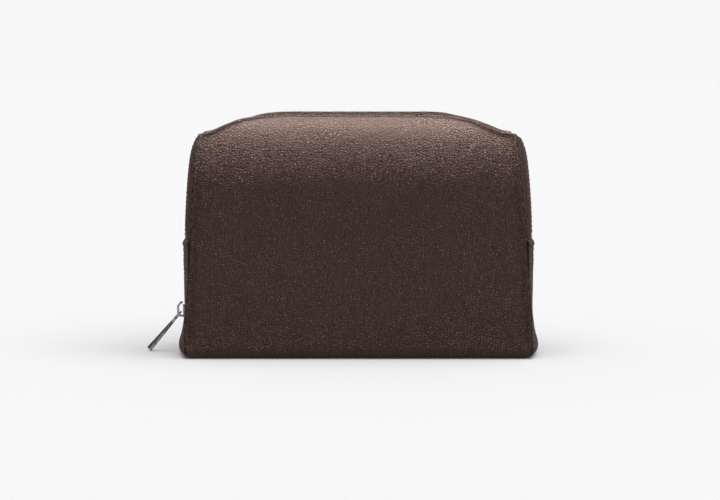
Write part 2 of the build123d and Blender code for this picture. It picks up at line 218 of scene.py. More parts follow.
def grid_normals(p, flip=1.0):
    """Normals of a grid of points."""
    du = np.gradient(p, axis=0)
    dv = np.gradient(p, axis=1)
    n = np.cross(du, dv) * flip
    return n / np.maximum(np.linalg.norm(n, axis=-1, keepdims=True), 1e-9)


def outward(p, n):
    """Directions n at points p, made unit length and turned out of the bag."""
    n = n / np.linalg.norm(n, axis=-1, keepdims=True)
    return n * np.sign(np.sum(n * (p - CORE), -1, keepdims=True))


def ripple(p, scale, amount, seed):
    """Gentle unevenness of a soft surface, the same on every run."""
    flat = p.reshape(-1, 3)
    out = [noise.noise(Vector((q[0] / scale + seed, q[1] / scale, q[2] / scale))) for q in flat]
    return amount * np.array(out).reshape(p.shape[:-1])


# ---- meshes ----
def make_object(name, verts, faces, material, uv=None):
    mesh = bpy.data.meshes.new(name)
    mesh.from_pydata([tuple(v) for v in np.asarray(verts) * MM], [], faces)
    mesh.update()
    mesh.shade_smooth()
    if uv is not None:
        layer = mesh.uv_layers.new(name="UVMap")
        index = np.zeros(len(mesh.loops), int)
        mesh.loops.foreach_get("vertex_index", index)
        layer.data.foreach_set("uv", (np.asarray(uv)[index] * MM).ravel())
    obj = bpy.data.objects.new(name, mesh)
    bpy.context.scene.collection.objects.link(obj)
    mesh.materials.append(material)
    return obj


def shell(name, points, normals, outer, inner, material, uv, roll=1.0, wear_and_highlight=None, groove_shade=None):
    """A closed sheet from a grid of points: its outer and inner faces, with rounded borders."""
    rows, cols = points.shape[:2]
    thick = outer + inner
    faces_out = points + normals * outer[..., None]
    faces_in = points - normals * inner[..., None]
    verts = [faces_out.reshape(-1, 3), faces_in.reshape(-1, 3)]
    uvs = [uv.reshape(-1, 2), uv.reshape(-1, 2)]
    faces = []
    count = rows * cols

    def quad(a, b, c, d):
        faces.append((int(a), int(b), int(c), int(d)))

    index = np.arange(count).reshape(rows, cols)
    for i in range(rows - 1):
        for j in range(cols - 1):
            a, b, c, d = index[i, j], index[i + 1, j], index[i + 1, j + 1], index[i, j + 1]
            quad(a, b, c, d)
            quad(a + count, d + count, c + count, b + count)
    ring = [(i, 0) for i in range(rows)] + [(rows - 1, j) for j in range(1, cols)]
    ring += [(i, cols - 1) for i in range(rows - 2, -1, -1)] + [(0, j) for j in range(cols - 2, 0, -1)]
    centre = (faces_out + faces_in) / 2
    loops = []
    for turn in (0.3, 0.7):
        base = sum(len(v) for v in verts)
        extra, extra_uv = [], []
        for i, j in ring:
            inside = centre[min(max(i, 1), rows - 2), min(max(j, 1), cols - 2)]
            away = centre[i, j] - inside
            away -= normals[i, j] * np.dot(away, normals[i, j])
            away /= max(np.linalg.norm(away), 1e-6)
            share = roll if np.isscalar(roll) else roll[i, j]
            bulge = math.sin(turn * math.pi) * thick[i, j] * 0.42 * share
            p = faces_out[i, j] * (1 - turn) + faces_in[i, j] * turn + away * bulge
            extra.append(p)
            extra_uv.append(uv[i, j])
        verts.append(np.array(extra))
        uvs.append(np.array(extra_uv))
        loops.append(base)
    total = len(ring)
    for k in range(total):
        n = (k + 1) % total
        top_a, top_b = index[ring[k]], index[ring[n]]
        quad(top_b, top_a, loops[0] + k, loops[0] + n)
        quad(loops[0] + n, loops[0] + k, loops[1] + k, loops[1] + n)
        quad(loops[1] + n, loops[1] + k, top_a + count, top_b + count)
    obj = make_object(name, np.concatenate(verts), faces, material, uv=np.concatenate(uvs))
    # paler colour mask (partly real scuffing, partly painted highlight) and painted shade mask (full on the
    # rolled borders)
    for key, share, border in (("wear_and_highlight", wear_and_highlight, 0.0), ("groove_shade", groove_shade, 1.0)):
        if share is not None:
            values = np.concatenate([share.ravel(), 0 * share.ravel(), np.full(2 * total, border)])
            layer = obj.data.attributes.new(key, "FLOAT", "POINT")
            layer.data.foreach_set("value", values.astype(np.float32))
    bm = bmesh.new()
    bm.from_mesh(obj.data)
    bmesh.ops.recalc_face_normals(bm, faces=bm.faces)
    bm.to_mesh(obj.data)
    bm.free()
    return obj


def sweep(name, centres, frames, sections, material):
    """Short solids that follow a line: each has its own frame and sections (along, across, out)."""
    verts, faces = [], []
    for centre, (t, b, n) in zip(centres, frames):
        base = len(verts)
        count = len(sections[0])
        for section in sections:
            for along, across, out in section:
                verts.append(centre + t * along + b * across + n * out)
        for k in range(len(sections) - 1):
            for j in range(count):
                m = (j + 1) % count
                faces.append((base + k * count + j, base + k * count + m,
                              base + (k + 1) * count + m, base + (k + 1) * count + j))
        faces.append(tuple(base + j for j in range(count))[::-1])
        last = base + (len(sections) - 1) * count
        faces.append(tuple(last + j for j in range(count)))
    return make_object(name, verts, faces, material)


def ring_section(at_across, half_along, half_out, sides=8, power=0.7):
    """A rounded box section of a tooth or stitch, square to the across direction."""
    points = []
    for k in range(sides):
        angle = 2 * math.pi * (k + 0.5) / sides
        c, s = math.cos(angle), math.sin(angle)
        points.append((half_along * math.copysign(abs(c) ** power, c), at_across,
                       half_out * math.copysign(abs(s) ** power, s)))
    return points


# ---- materials ----
class Mat:
    """A node material built up step by step."""

    def __init__(self, name):
        self.mat = bpy.data.materials.new(name)
        self.mat.use_nodes = True
        self.tree = self.mat.node_tree
        self.bsdf = self.tree.nodes["Principled BSDF"]

    def node(self, kind, inputs=None, **settings):
        made = self.tree.nodes.new(kind)
        for key, value in settings.items():
            setattr(made, key, value)
        for key, value in (inputs or {}).items():
            self.feed(made.inputs[key], value)
        return made

    def feed(self, socket, value):
        if isinstance(value, bpy.types.NodeSocket):
            self.tree.links.new(value, socket)
        else:
            socket.default_value = value

    def math(self, operation, a, b=0.0, clamp=False):
        made = self.node("ShaderNodeMath", {0: a, 1: b}, operation=operation)
        made.use_clamp = clamp
        return made.outputs[0]

    def mix(self, factor, a, b):
        made = self.node("ShaderNodeMix", data_type="RGBA")
        for key, value in (("Factor", factor), ("A", a), ("B", b)):
            socket = [s for s in made.inputs if s.name == key and s.enabled][0]
            self.feed(socket, value)
        return [s for s in made.outputs if s.enabled][0]

    def ranged(self, value, low, high, out_low=0.0, out_high=1.0):
        made = self.node("ShaderNodeMapRange", {"Value": value, "From Min": low, "From Max": high,
                                                "To Min": out_low, "To Max": out_high})
        return made.outputs[0]

    def bump(self, height, distance, strength=1.0):
        inputs = {"Height": height, "Distance": distance, "Strength": strength}
        return self.node("ShaderNodeBump", inputs).outputs[0]

    def set(self, **values):
        for key, value in values.items():
            self.feed(self.bsdf.inputs[key.replace("_", " ")], value)


def leather(name, body, crease, worn_and_highlight, rough=(0.31, 0.52), depth=0.00105, cells=545.0, gloss=0.42):
    """Pebbled full-grain leather: cells with creases between them and pores. Paler edges are partly real
    scuffing and partly painted highlight; darker seam lines and fold valleys are painted shade.
    """
    m = Mat(name)
    coords = m.node("ShaderNodeTexCoord").outputs["Object"]
    warp = m.node("ShaderNodeTexNoise", {"Vector": coords, "Scale": 260.0, "Detail": 2.0})
    warp_size = m.node("ShaderNodeVectorMath", {0: warp.outputs["Color"], 1: (0.0011, 0.0011, 0.0011)},
                       operation="MULTIPLY").outputs[0]
    bent = m.node("ShaderNodeVectorMath", {0: coords, 1: warp_size}, operation="ADD").outputs[0]
    edges = m.node("ShaderNodeTexVoronoi", {"Vector": bent, "Scale": cells},
                   feature="DISTANCE_TO_EDGE").outputs["Distance"]
    large = m.node("ShaderNodeTexVoronoi", {"Vector": bent, "Scale": cells * 0.43},
                   feature="DISTANCE_TO_EDGE").outputs["Distance"]
    pebble = m.ranged(edges, 0.0, 0.3)
    fold = m.ranged(large, 0.0, 0.16)
    pores = m.node("ShaderNodeTexNoise", {"Vector": coords, "Scale": 2600.0, "Detail": 2.0}).outputs["Fac"]
    drift = m.node("ShaderNodeTexNoise", {"Vector": coords, "Scale": 17.0, "Detail": 3.0}).outputs["Fac"]
    patch = m.node("ShaderNodeTexNoise", {"Vector": coords, "Scale": 120.0, "Detail": 2.0}).outputs["Fac"]
    relief = m.math("MULTIPLY", pebble, m.math("ADD", m.math("MULTIPLY", fold, 0.55), 0.45))
    height = m.math("ADD", relief, m.math("MULTIPLY", pores, 0.12))
    height = m.math("ADD", height, m.math("MULTIPLY", patch, 0.28))
    tone = m.mix(m.ranged(relief, 0.0, 0.8), crease, body)
    shade = m.mix(m.ranged(drift, 0.3, 0.7), tuple(c * 0.86 for c in body[:3]) + (1,), tone)
    tone = m.mix(0.12, tone, shade)
    # paler colour on the marked edges, ridges, crests and lip tops: partly real scuffing, partly painted
    # highlight
    wear_and_highlight = m.node("ShaderNodeAttribute", attribute_name="wear_and_highlight").outputs["Fac"]
    rubbed = m.math("MULTIPLY", wear_and_highlight, m.ranged(patch, 0.35, 0.65), clamp=True)
    colour = m.mix(m.math("MULTIPLY", rubbed, 0.6), tone, worn_and_highlight)
    # painted shade: darker colour along the seam lines, in the fold valleys and on the sheets' rolled
    # borders
    groove_shade = m.node("ShaderNodeAttribute", attribute_name="groove_shade").outputs["Fac"]
    colour = m.mix(m.math("MULTIPLY", groove_shade, 0.85), colour, tuple(c * 0.4 for c in crease[:3]) + (1,))
    m.set(Base_Color=colour, Roughness=m.ranged(relief, 0.0, 1.0, rough[1], rough[0]),
          Normal=m.bump(height, depth), IOR=1.46, Specular_IOR_Level=gloss,
          Specular_Tint=(1.0, 0.80, 0.74, 1))
    return m.mat


def cloth(name, dark, light, pitch, depth=0.00012, rough=0.85, sheen=0.25):
    """A plain weave on the sheet's own measured coordinates."""
    m = Mat(name)
    uv = m.node("ShaderNodeUVMap", uv_map="UVMap").outputs[0]
    parts = m.node("ShaderNodeSeparateXYZ", {0: uv})
    cells = [m.math("MULTIPLY", parts.outputs[k], 1.0 / pitch) for k in range(2)]
    waves = [m.math("ABSOLUTE", m.math("SINE", m.math("MULTIPLY", c, math.pi))) for c in cells]
    floors = [m.math("FLOOR", c) for c in cells]
    checker = m.math("PINGPONG", m.math("ADD", *floors), 1.0)
    over = m.math("MULTIPLY", waves[0], checker)
    under = m.math("MULTIPLY", waves[1], m.math("SUBTRACT", 1.0, checker))
    height = m.math("ADD", over, under)
    coords = m.node("ShaderNodeTexCoord").outputs["Object"]
    fuzz = m.node("ShaderNodeTexNoise", {"Vector": coords, "Scale": 900.0, "Detail": 3.0}).outputs["Fac"]
    tone = m.mix(m.math("MULTIPLY", height, m.ranged(fuzz, 0.2, 0.8, 0.6, 1.0)), dark, light)
    m.set(Base_Color=tone, Roughness=rough, Sheen_Weight=sheen, Sheen_Roughness=0.5,
          Specular_IOR_Level=0.25,
          Normal=m.bump(m.math("ADD", height, m.math("MULTIPLY", fuzz, 0.4)), depth))
    return m.mat


def metal(name, pale, dark, rough=0.3):
    """Plated zinc with fine brushing, a little tarnish and rubbed high spots."""
    m = Mat(name)
    coords = m.node("ShaderNodeTexCoord").outputs["Object"]
    tarnish = m.node("ShaderNodeTexNoise", {"Vector": coords, "Scale": 420.0, "Detail": 4.0}).outputs["Fac"]
    fine = m.node("ShaderNodeTexNoise", {"Vector": coords, "Scale": 5200.0, "Detail": 2.0}).outputs["Fac"]
    tone = m.mix(m.ranged(tarnish, 0.35, 0.7), pale, dark)
    m.set(Base_Color=tone, Metallic=1.0, Roughness=m.ranged(tarnish, 0.3, 0.7, rough - 0.06, rough + 0.12),
          Normal=m.bump(fine, 0.00002, 0.6))
    return m.mat


def thread(name, colour):
    """Twisted sewing thread."""
    m = Mat(name)
    coords = m.node("ShaderNodeTexCoord").outputs["Object"]
    twist = m.node("ShaderNodeTexWave", {"Vector": coords, "Scale": 900.0, "Distortion": 1.5},
                   bands_direction="DIAGONAL").outputs["Fac"]
    tone = m.mix(twist, tuple(c * 0.6 for c in colour[:3]) + (1,), colour)
    m.set(Base_Color=tone, Roughness=0.6, Normal=m.bump(twist, 0.00008), Sheen_Weight=0.2)
    return m.mat


def board(name):
    """Grey-brown fibre board."""
    m = Mat(name)
    coords = m.node("ShaderNodeTexCoord").outputs["Object"]
    fibre = m.node("ShaderNodeTexNoise", {"Vector": coords, "Scale": 700.0, "Detail": 5.0}).outputs["Fac"]
    tone = m.mix(m.ranged(fibre, 0.3, 0.7), (0.035, 0.028, 0.022, 1), (0.075, 0.06, 0.048, 1))
    m.set(Base_Color=tone, Roughness=0.8, Normal=m.bump(fibre, 0.0001))
    return m.mat


LEATHER_BODY = (0.0625, 0.0288, 0.0188, 1)
LEATHER_CREASE = (0.026, 0.013, 0.009, 1)
# paler edge colour: partly real scuffing, partly painted highlight on the seam ridges
LEATHER_WORN_AND_HIGHLIGHT = (0.085, 0.050, 0.037, 1)
hide = leather("leather_pebbled", LEATHER_BODY, LEATHER_CREASE, LEATHER_WORN_AND_HIGHLIGHT)
# pinkish edge colour of the side strips: partly real scuffing, partly painted highlight
SIDE_WORN_AND_HIGHLIGHT = (0.150, 0.080, 0.072, 1)
# painted light: the side strips take a lighter, redder copy of the body leather, for the light the gussets
# catch
side_hide_lit_copy = leather("leather_side_lit_copy", (0.108, 0.050, 0.044, 1), LEATHER_CREASE, SIDE_WORN_AND_HIGHLIGHT, (0.5, 0.7),
                    gloss=0.16)
trim = leather("leather_trim", tuple(0.85 * c for c in LEATHER_BODY[:3]) + (1,), LEATHER_CREASE,
               LEATHER_WORN_AND_HIGHLIGHT, depth=0.00016)
sewing = thread("thread_brown", (0.035, 0.019, 0.014, 1))
tape_cloth = cloth("zip_tape_cloth", (0.008, 0.006, 0.005, 1), (0.026, 0.019, 0.016, 1), 0.0006)
inner_cloth = cloth("lining_twill", (0.185, 0.155, 0.128, 1), (0.345, 0.300, 0.255, 1), 0.0005)
gunmetal = metal("gunmetal_plate", (0.36, 0.345, 0.33, 1), (0.15, 0.14, 0.13, 1), 0.22)
teeth_metal = metal("teeth_metal", (0.22, 0.205, 0.19, 1), (0.09, 0.083, 0.076, 1), 0.34)
fibre_board = board("fibre_board")

# ---- halves, and stand-ins for the frame's nodes ----
HALF = {"front": -1, "back": 1}


def bends(obj, half, slot, *nodes):
    """Bakes obj's transform into its mesh and hides the frame's nodes it stands in for; half and slot are
    not used.
    """
    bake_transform(obj)
    if nodes:
        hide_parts(*nodes)
    return obj


# ---- leather panels ----
HIDE = 1.6                   # the leather's thickness
PUCKER_LENGTH = 7.5          # from one seam pucker to the next


def spaced(low, high, count, crowd):
    """Numbers from low to high that crowd towards both ends."""
    t = np.linspace(-1, 1, count)
    t = np.sign(t) * (1 - (1 - np.abs(t)) ** crowd)
    return low + (high - low) * (t + 1) / 2


def edge_ridge(a, b, p):
    """The turned edge beside the seam: a low ridge that fades out under the base."""
    gap_side = (1 - np.abs(a)) * seam_width(p[..., 2])
    gap_top = (1 - b) * path_end(panel_top(a))
    gap = np.minimum(gap_side, gap_top)
    ridge = 0.85 * hill(gap, 1.5, 0.85) - 0.3 * hill(gap, 3.8, 1.3)
    return ridge * smoothstep(6, 14, p[..., 2]), gap


def panel(half, inset, thick, name, material, columns, rows, detail=True):
    """One big panel from the base's middle to the zip side's seam."""
    side = HALF[half]
    a = spaced(-1, 1, columns, 1.45)
    b = 1 - (1 - np.linspace(0, 1, rows)) ** 1.15
    A, B = np.meshgrid(a, b, indexing="ij")
    p = panel_point(A, B, side)
    n = grid_normals(p, -side)
    ridge, gap = edge_ridge(A, B, p)
    off_floor = smoothstep(3, 18, p[..., 2])
    lift = off_floor * (ripple(p, 46, 0.55, 3.0 + side) + ripple(p, 17, 0.16, 9.0 + side))
    turns = (p[..., 2] + 0.6 * p[..., 0]) / PUCKER_LENGTH
    pucker = 0.14 * np.sin(turns * 2 * math.pi) * np.exp(-gap / 4.0)
    lift = lift * smoothstep(0, 12, gap) + (ridge + pucker * off_floor) * (1 if detail else 0)
    outer = lift - inset
    inner = thick - outer
    uv = np.stack([p[..., 0], B * path_end(panel_top(A))], -1)
    # paler colour beside the seam: partly real scuffing, partly painted highlight on the seam ridge
    wear_and_highlight = hill(gap, 2.0, 0.9) * off_floor
    # painted shade along the seam line
    groove_shade = hill(gap, 0.0, 0.9)
    return shell(name, p, n, outer, inner, material, uv, wear_and_highlight=wear_and_highlight, groove_shade=groove_shade)


for half in HALF:
    piece = panel(half, 0.0, HIDE, f"{half}_leather_panel", hide, 150, 190)
    bends(piece, half, "leather", f"{half}_upper_panel", f"{half}_upper_backing", "body_wrap",
          "lower_backing")

# ---- gusset: strips beside the zip, and the side panels ----
SLOT_HALF = 5.5
SLOT_END = 20.0
LIP_TOP = fold_z + 2.6
LIP_HEIGHT = 8.0
LIP_ROLL = 4.2
LIP_BULGE = 0.75
LIP_STEP = 0.35              # the second layer of the turned lip
OVERLAP = 0.55               # the lip stands out over the strip
OVERLAP_FROM = 58.0
OVERLAP_TO = 71.0
STRIP_SINK = 1.15            # the strip's end goes in behind the lip
STRIP_STEPS = 420
# soft hills along the gusset: distance from the seam or slot, and spread
SEAM_RIDGE = (1.6, 1.0)
FOLD_VALLEY = (8.5, 3.2)
FOLD_CREST = (17.0, 5.0)
SLOT_WEAR = (0.4, 0.8)
FOLD_DEPTH = 1.15
FOLD_RISE = 0.75
STITCH_IN = 1.7              # stitches, in from an edge
LINING_LOW = 1.0             # the side lining's lower edge, above the floor
STRIP_END = side_length_at(72.0)
LIP_END = side_length_at(LIP_TOP)


def gusset_grid(s, share, slot, side):
    """Points and normals of one half of the gusset, from the slot's edge to the seam."""
    S, W = np.meshgrid(s, share, indexing="ij")
    edge = np.abs(at(SEAM, S)[..., 1])
    low = slot(S)
    Y = side * (low + W * (edge - low))
    p = gusset_point(S, Y)
    n = grid_normals(p, 1.0)
    flip = np.sign(np.sum(n * (p - CORE), -1, keepdims=True))
    n = n * np.where(flip == 0, 1, flip)
    return S, W, Y, p, n


def strip(half, inset, thick, name, material, slot_half, detail=True):
    """The strip beside the zip, from the slot to the seam and down both sides."""
    side = HALF[half]
    s = np.linspace(-STRIP_END, STRIP_END, STRIP_STEPS)
    share = spaced(0, 1, 22, 1.5)
    S, W, Y, p, n = gusset_grid(s, share, lambda q: np.full_like(q, slot_half), side)
    from_seam = (1 - W) * (np.abs(at(SEAM, S)[..., 1]) - slot_half)
    from_slot = W * (np.abs(at(SEAM, S)[..., 1]) - slot_half)
    z = at(MIDDLE, S)[..., 2]
    wave = 0.22 * np.sin(S * 2 * math.pi / 11.0 + side) * np.exp(-from_slot / 3.5)
    wave += ripple(p, 15, 0.25, 20.0 + side)
    down_side = 1 - smoothstep(top_z - 34, top_z - 20, z)
    fold = FOLD_RISE * hill(from_seam, *FOLD_CREST) - FOLD_DEPTH * hill(from_seam, *FOLD_VALLEY)
    ridge = 0.55 * hill(from_seam, *SEAM_RIDGE) + down_side * fold
    sink = STRIP_SINK * (1 - smoothstep(fold_z, fold_z + 16, z)) * smoothstep(0, 2, from_seam)
    lift = (wave * smoothstep(0, 3, from_seam) + ridge - sink) * (1 if detail else 0) - inset
    # paler colour at the slot's edge, by the seam ridge and on the fold's crest: partly real scuffing,
    # partly painted highlight
    wear_and_highlight = hill(from_slot, *SLOT_WEAR) + hill(from_seam, 2.6, 1.3)
    wear_and_highlight = np.clip(wear_and_highlight + down_side * hill(from_seam, *FOLD_CREST), 0, 1)
    # painted shade along the seam line and in the fold valley
    groove_shade = hill(from_seam, 0.0, 1.0) + 0.6 * down_side * hill(from_seam, FOLD_VALLEY[0], 2.6)
    return shell(name, p, n, lift, thick - lift, material, np.stack([S, Y], -1), wear_and_highlight=wear_and_highlight, groove_shade=groove_shade)


def slot_shape(s):
    """Half width of the zip's slot along the side, round at its lower end."""
    z = at(MIDDLE, s)[..., 2]
    drop = np.clip((SLOT_END + SLOT_HALF - z) / SLOT_HALF, 0, 1)
    return SLOT_HALF * np.sqrt(np.maximum(1 - drop ** 2, 0)) * (z > SLOT_END)


def side_piece(half, hand, inset, thick, name, material, detail=True):
    """Half of a lower side panel, with its turned lip at the top."""
    side = HALF[half]
    low = END if detail else side_length_at(LINING_LOW)
    lip_foot, slot_above, slot_below = (side_length_at(z) for z in (66, 27, 18))
    s = hand * np.concatenate([np.linspace(LIP_END, lip_foot, 26)[:-1],
                               np.linspace(lip_foot, slot_above, 26)[:-1],
                               np.linspace(slot_above, slot_below, 34)[:-1],
                               np.linspace(slot_below, low, 40)])
    share = spaced(0, 1, 30, 1.35)
    S, W, Y, p, n = gusset_grid(s, share, slot_shape, side)
    z = at(MIDDLE, S)[..., 2]
    edge = np.abs(at(SEAM, S)[..., 1])
    from_seam = (1 - W) * (edge - slot_shape(S))
    from_slot = np.abs(Y) - slot_shape(S) + np.where(z < SLOT_END + 1, 6.0, 0.0)
    over = OVERLAP * smoothstep(OVERLAP_FROM, OVERLAP_TO, z)
    round_off = np.clip((z - (LIP_TOP - LIP_ROLL / 2)) / (LIP_ROLL / 2), -1, 1)
    lip_low = LIP_TOP - LIP_HEIGHT
    lip = LIP_BULGE * np.sqrt(1 - round_off ** 2)
    lip = lip + LIP_STEP * smoothstep(lip_low - 0.8, lip_low + 0.4, z) * (z < LIP_TOP - LIP_ROLL / 2)
    ridge = 0.35 * hill(from_seam, *SEAM_RIDGE) * smoothstep(5, 14, z)
    wave = 0.35 * ripple(p, 21, 1.0, 31.0 + side + 2 * hand)
    wave = wave * smoothstep(2, 16, z) * smoothstep(0, 4, from_seam)
    if detail:
        outer = over + lip + ridge + wave - inset
        inner = thick - over - wave
    else:
        outer = np.full_like(z, -inset)
        inner = thick - outer
    roll = smoothstep(0.0, 0.8, slot_shape(S) + W * 3)
    # paler colour at the slot's edge and on the lip's rolled top: partly real scuffing, partly painted
    # highlight
    wear_and_highlight = hill(from_slot, *SLOT_WEAR) + 0.8 * hill(LIP_TOP - z, 0.6, 1.0)
    wear_and_highlight = np.clip(wear_and_highlight * smoothstep(3, 10, z), 0, 1)
    # painted shade along the seam line
    groove_shade = hill(from_seam, 0.0, 1.0)
    return shell(name, p, n, outer, inner, material, np.stack([S, Y], -1), roll, wear_and_highlight, groove_shade)


for half in HALF:
    bends(strip(half, 0.0, HIDE, f"{half}_zip_strip", side_hide_lit_copy, SLOT_HALF), half, "leather",
          f"{half}_gusset_strip")
    for hand, word in ((-1, "left"), (1, "right")):
        bends(side_piece(half, hand, 0.0, HIDE, f"{word}_side_{half}", side_hide_lit_copy), half, "leather",
              f"{word}_side_panel")

# ---- zip: tapes and teeth ----
TAPE_TOP = 1.75              # the tape's face, below the leather's
TAPE_CLOTH = 0.55
TAPE_IN = 1.7                # the tape's inner edge, from the middle plane
TAPE_REACH = 13.5
TOOTH_PITCH = 2.54
SLIDER_Z = (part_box("slider_body")[0].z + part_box("slider_body")[1].z) / 2 / MM
LEFT_TEETH_END = side_length_at(SLIDER_Z - 2.0)
RIGHT_TEETH_END = side_length_at(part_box("zip_bottom_stop")[1].z / MM + 0.8)
TAPE_END = side_length_at(15.0)


def line_frames(s, y, inset):
    """Centres and (along, across, out) frames on the gusset at depth inset."""
    s = np.asarray(s, float)
    y = np.full_like(s, y)
    p = gusset_point(s, y)
    ahead = gusset_point(s + 0.4, y) - gusset_point(s - 0.4, y)
    t = ahead / np.linalg.norm(ahead, axis=-1, keepdims=True)
    b = np.tile([0.0, 1.0, 0.0], (len(s), 1))
    n = outward(p, np.cross(t, b))
    return p - n * inset, list(zip(t, b, n))


def tape(half):
    side = HALF[half]
    s = np.linspace(-TAPE_END, TAPE_END, STRIP_STEPS)
    share = np.linspace(0, 1, 9)
    S, W = np.meshgrid(s, share, indexing="ij")
    edge = np.abs(at(SEAM, S)[..., 1])
    reach = np.minimum(TAPE_REACH, edge - 1.5)
    Y = side * (TAPE_IN + W * (reach - TAPE_IN))
    p = gusset_point(S, Y)
    t = np.gradient(p, axis=0)
    n = outward(p, np.cross(t, np.array([0.0, 1.0, 0.0])))
    cord = 0.45 * hill(np.abs(Y), 2.1, 0.55)
    outer = cord - TAPE_TOP
    inner = cord + TAPE_TOP + TAPE_CLOTH
    return shell(f"{half}_zip_tape", p, n, outer, inner, tape_cloth, np.stack([S, Y], -1))


def teeth(half):
    side = HALF[half]
    shift = 0.0 if side < 0 else TOOTH_PITCH / 2
    count = int((LEFT_TEETH_END + RIGHT_TEETH_END) / TOOTH_PITCH)
    s = -LEFT_TEETH_END + shift + TOOTH_PITCH * np.arange(count)
    centres, frames = line_frames(s, 0.0, 0.6)
    profile = ((-3.25, 0.35, 0.75), (-3.05, 0.58, 1.12), (-1.5, 0.56, 1.28), (-0.7, 0.44, 1.2),
               (0.1, 0.60, 1.25), (0.75, 0.58, 1.12), (1.0, 0.34, 0.75))
    sections = [ring_section(-side * y, u, v) for y, u, v in profile]
    return sweep(f"{half}_zip_teeth", centres, frames, sections, teeth_metal)


for half in HALF:
    bends(tape(half), half, "zip_tape", f"zip_tape_{half}", "left_zip_tapes", "right_zip_tapes")
    bends(teeth(half), half, "gunmetal", f"zip_chain_{half}", "left_zip_chains", "right_zip_chains")


# ---- stitching ----
def stitches(name, points, outs, length=2.5, gap=0.9, radius=0.26):
    """A row of short thread stitches along a line of surface points."""
    points, outs = np.asarray(points), np.asarray(outs)
    along = np.concatenate([[0], np.cumsum(np.linalg.norm(np.diff(points, axis=0), axis=1))])
    starts = np.arange(0.5, along[-1] - length, length + gap)
    centres, frames = [], []

    def where(q):
        return np.array([np.interp(q, along, points[:, k]) for k in range(3)])

    for start in starts:
        first, last = where(start), where(start + length)
        t = last - first
        t /= np.linalg.norm(t)
        n = np.array([np.interp(start + length / 2, along, outs[:, k]) for k in range(3)])
        n -= t * np.dot(n, t)
        n /= np.linalg.norm(n)
        centres.append((first + last) / 2)
        frames.append((np.cross(n, t), t, n))
    half = length / 2
    profile = ((-half, 0.35, -0.75), (-half * 0.82, 0.8, -0.1), (-half * 0.45, 1.0, 0.12), (0, 1.0, 0.18),
               (half * 0.45, 1.0, 0.12), (half * 0.82, 0.8, -0.1), (half, 0.35, -0.75))
    sections = []
    for across, size, rise in profile:
        ring = ring_section(across, radius * size, radius * size, 6, 1.0)
        sections.append([(u, v, w + rise * radius * 1.6) for u, v, w in ring])
    return sweep(name, centres, frames, sections, sewing)


def gusset_line(s, y):
    """Points and outward directions of a line on the gusset."""
    p = gusset_point(s, y)
    t = np.gradient(p, axis=0)
    across = gusset_point(s, y + 0.3) - gusset_point(s, y - 0.3)
    return p, outward(p, np.cross(t, across))


for half in HALF:
    side = HALF[half]
    s = np.linspace(-LIP_END + 2.0, LIP_END - 2.0, 700)
    p, n = gusset_line(s, np.full_like(s, side * (SLOT_HALF + STITCH_IN)))
    bends(stitches(f"{half}_zip_stitches", p + n * 0.12, n), half, "leather")
    for hand, word in ((-1, "left"), (1, "right")):
        s = hand * side_length_at(LIP_TOP - LIP_HEIGHT + 1.6)
        y = side * np.linspace(SLOT_HALF + 1.0, 44.0, 90)
        p, n = gusset_line(np.full_like(y, s), y)
        across = gusset_point(np.full_like(y, s + 0.5), y) - gusset_point(np.full_like(y, s - 0.5), y)
        along = np.gradient(p, axis=0)
        n = outward(p, np.cross(along, across))
        lift = OVERLAP + LIP_STEP
        bends(stitches(f"{word}_lip_stitches_{half}", p + n * lift, n), half, "leather")
        heights = np.linspace(side_length_at(LIP_TOP - LIP_HEIGHT - 2), side_length_at(SLOT_END + 4), 120)
        ss = hand * heights
        yy = side * (slot_shape(ss) + STITCH_IN)
        p, n = gusset_line(ss, yy)
        z = at(MIDDLE, ss)[..., 2]
        lift = 0.15 + OVERLAP * smoothstep(OVERLAP_FROM, OVERLAP_TO, z)
        bends(stitches(f"{word}_slot_stitches_{half}", p + n * lift[:, None], n), half, "leather")

# ---- lining ----
LINING_CLOTH = 0.6           # the lining's thickness
WALL_LINING = 3.1            # its depth behind the panels' outer face
GUSSET_LINING = 4.6          # its depth behind the leather, clear of the strip's folds
LINING_SLOT = 9.0            # half the gap it leaves for the zip


def cut_size(widths, steps):
    """A sheet's flat width and length, and the area of a cut that follows its outline, in metres."""
    area = float(np.sum((widths[1:] + widths[:-1]) / 2 * np.diff(steps)))
    return (float(widths.max()) * MM, float(steps[-1] - steps[0]) * MM), area * MM * MM


def wall_cut():
    """The wall lining's cut: as wide as the panel at each place along its path."""
    height = path_end(panel_top(0.0))
    steps = np.linspace(0, height, 400)
    share = np.linspace(-1, 1, 201)
    reached = (steps[:, None] <= path_end(panel_top(share))[None, :]).mean(axis=1)
    widths = 2 * seam_width(np.interp(steps, DENSE, DENSE_Z)) * reached
    return cut_size(widths, steps)


def gusset_cut(slot, low, high):
    """A gusset lining's cut, measured over its curve from the slot's edge to the seam."""
    line = np.linspace(low, high, 400)
    first, last = slot(line), np.abs(at(SEAM, line)[..., 1])
    rows = [gusset_point(line, first + share * (last - first)) for share in np.linspace(0, 1, 13)]
    widths = sum(np.linalg.norm(b - a, axis=-1) for a, b in zip(rows, rows[1:]))
    halfway = np.linalg.norm(np.diff(rows[6], axis=0), axis=1)
    return cut_size(widths, np.concatenate([[0], np.cumsum(halfway)]))


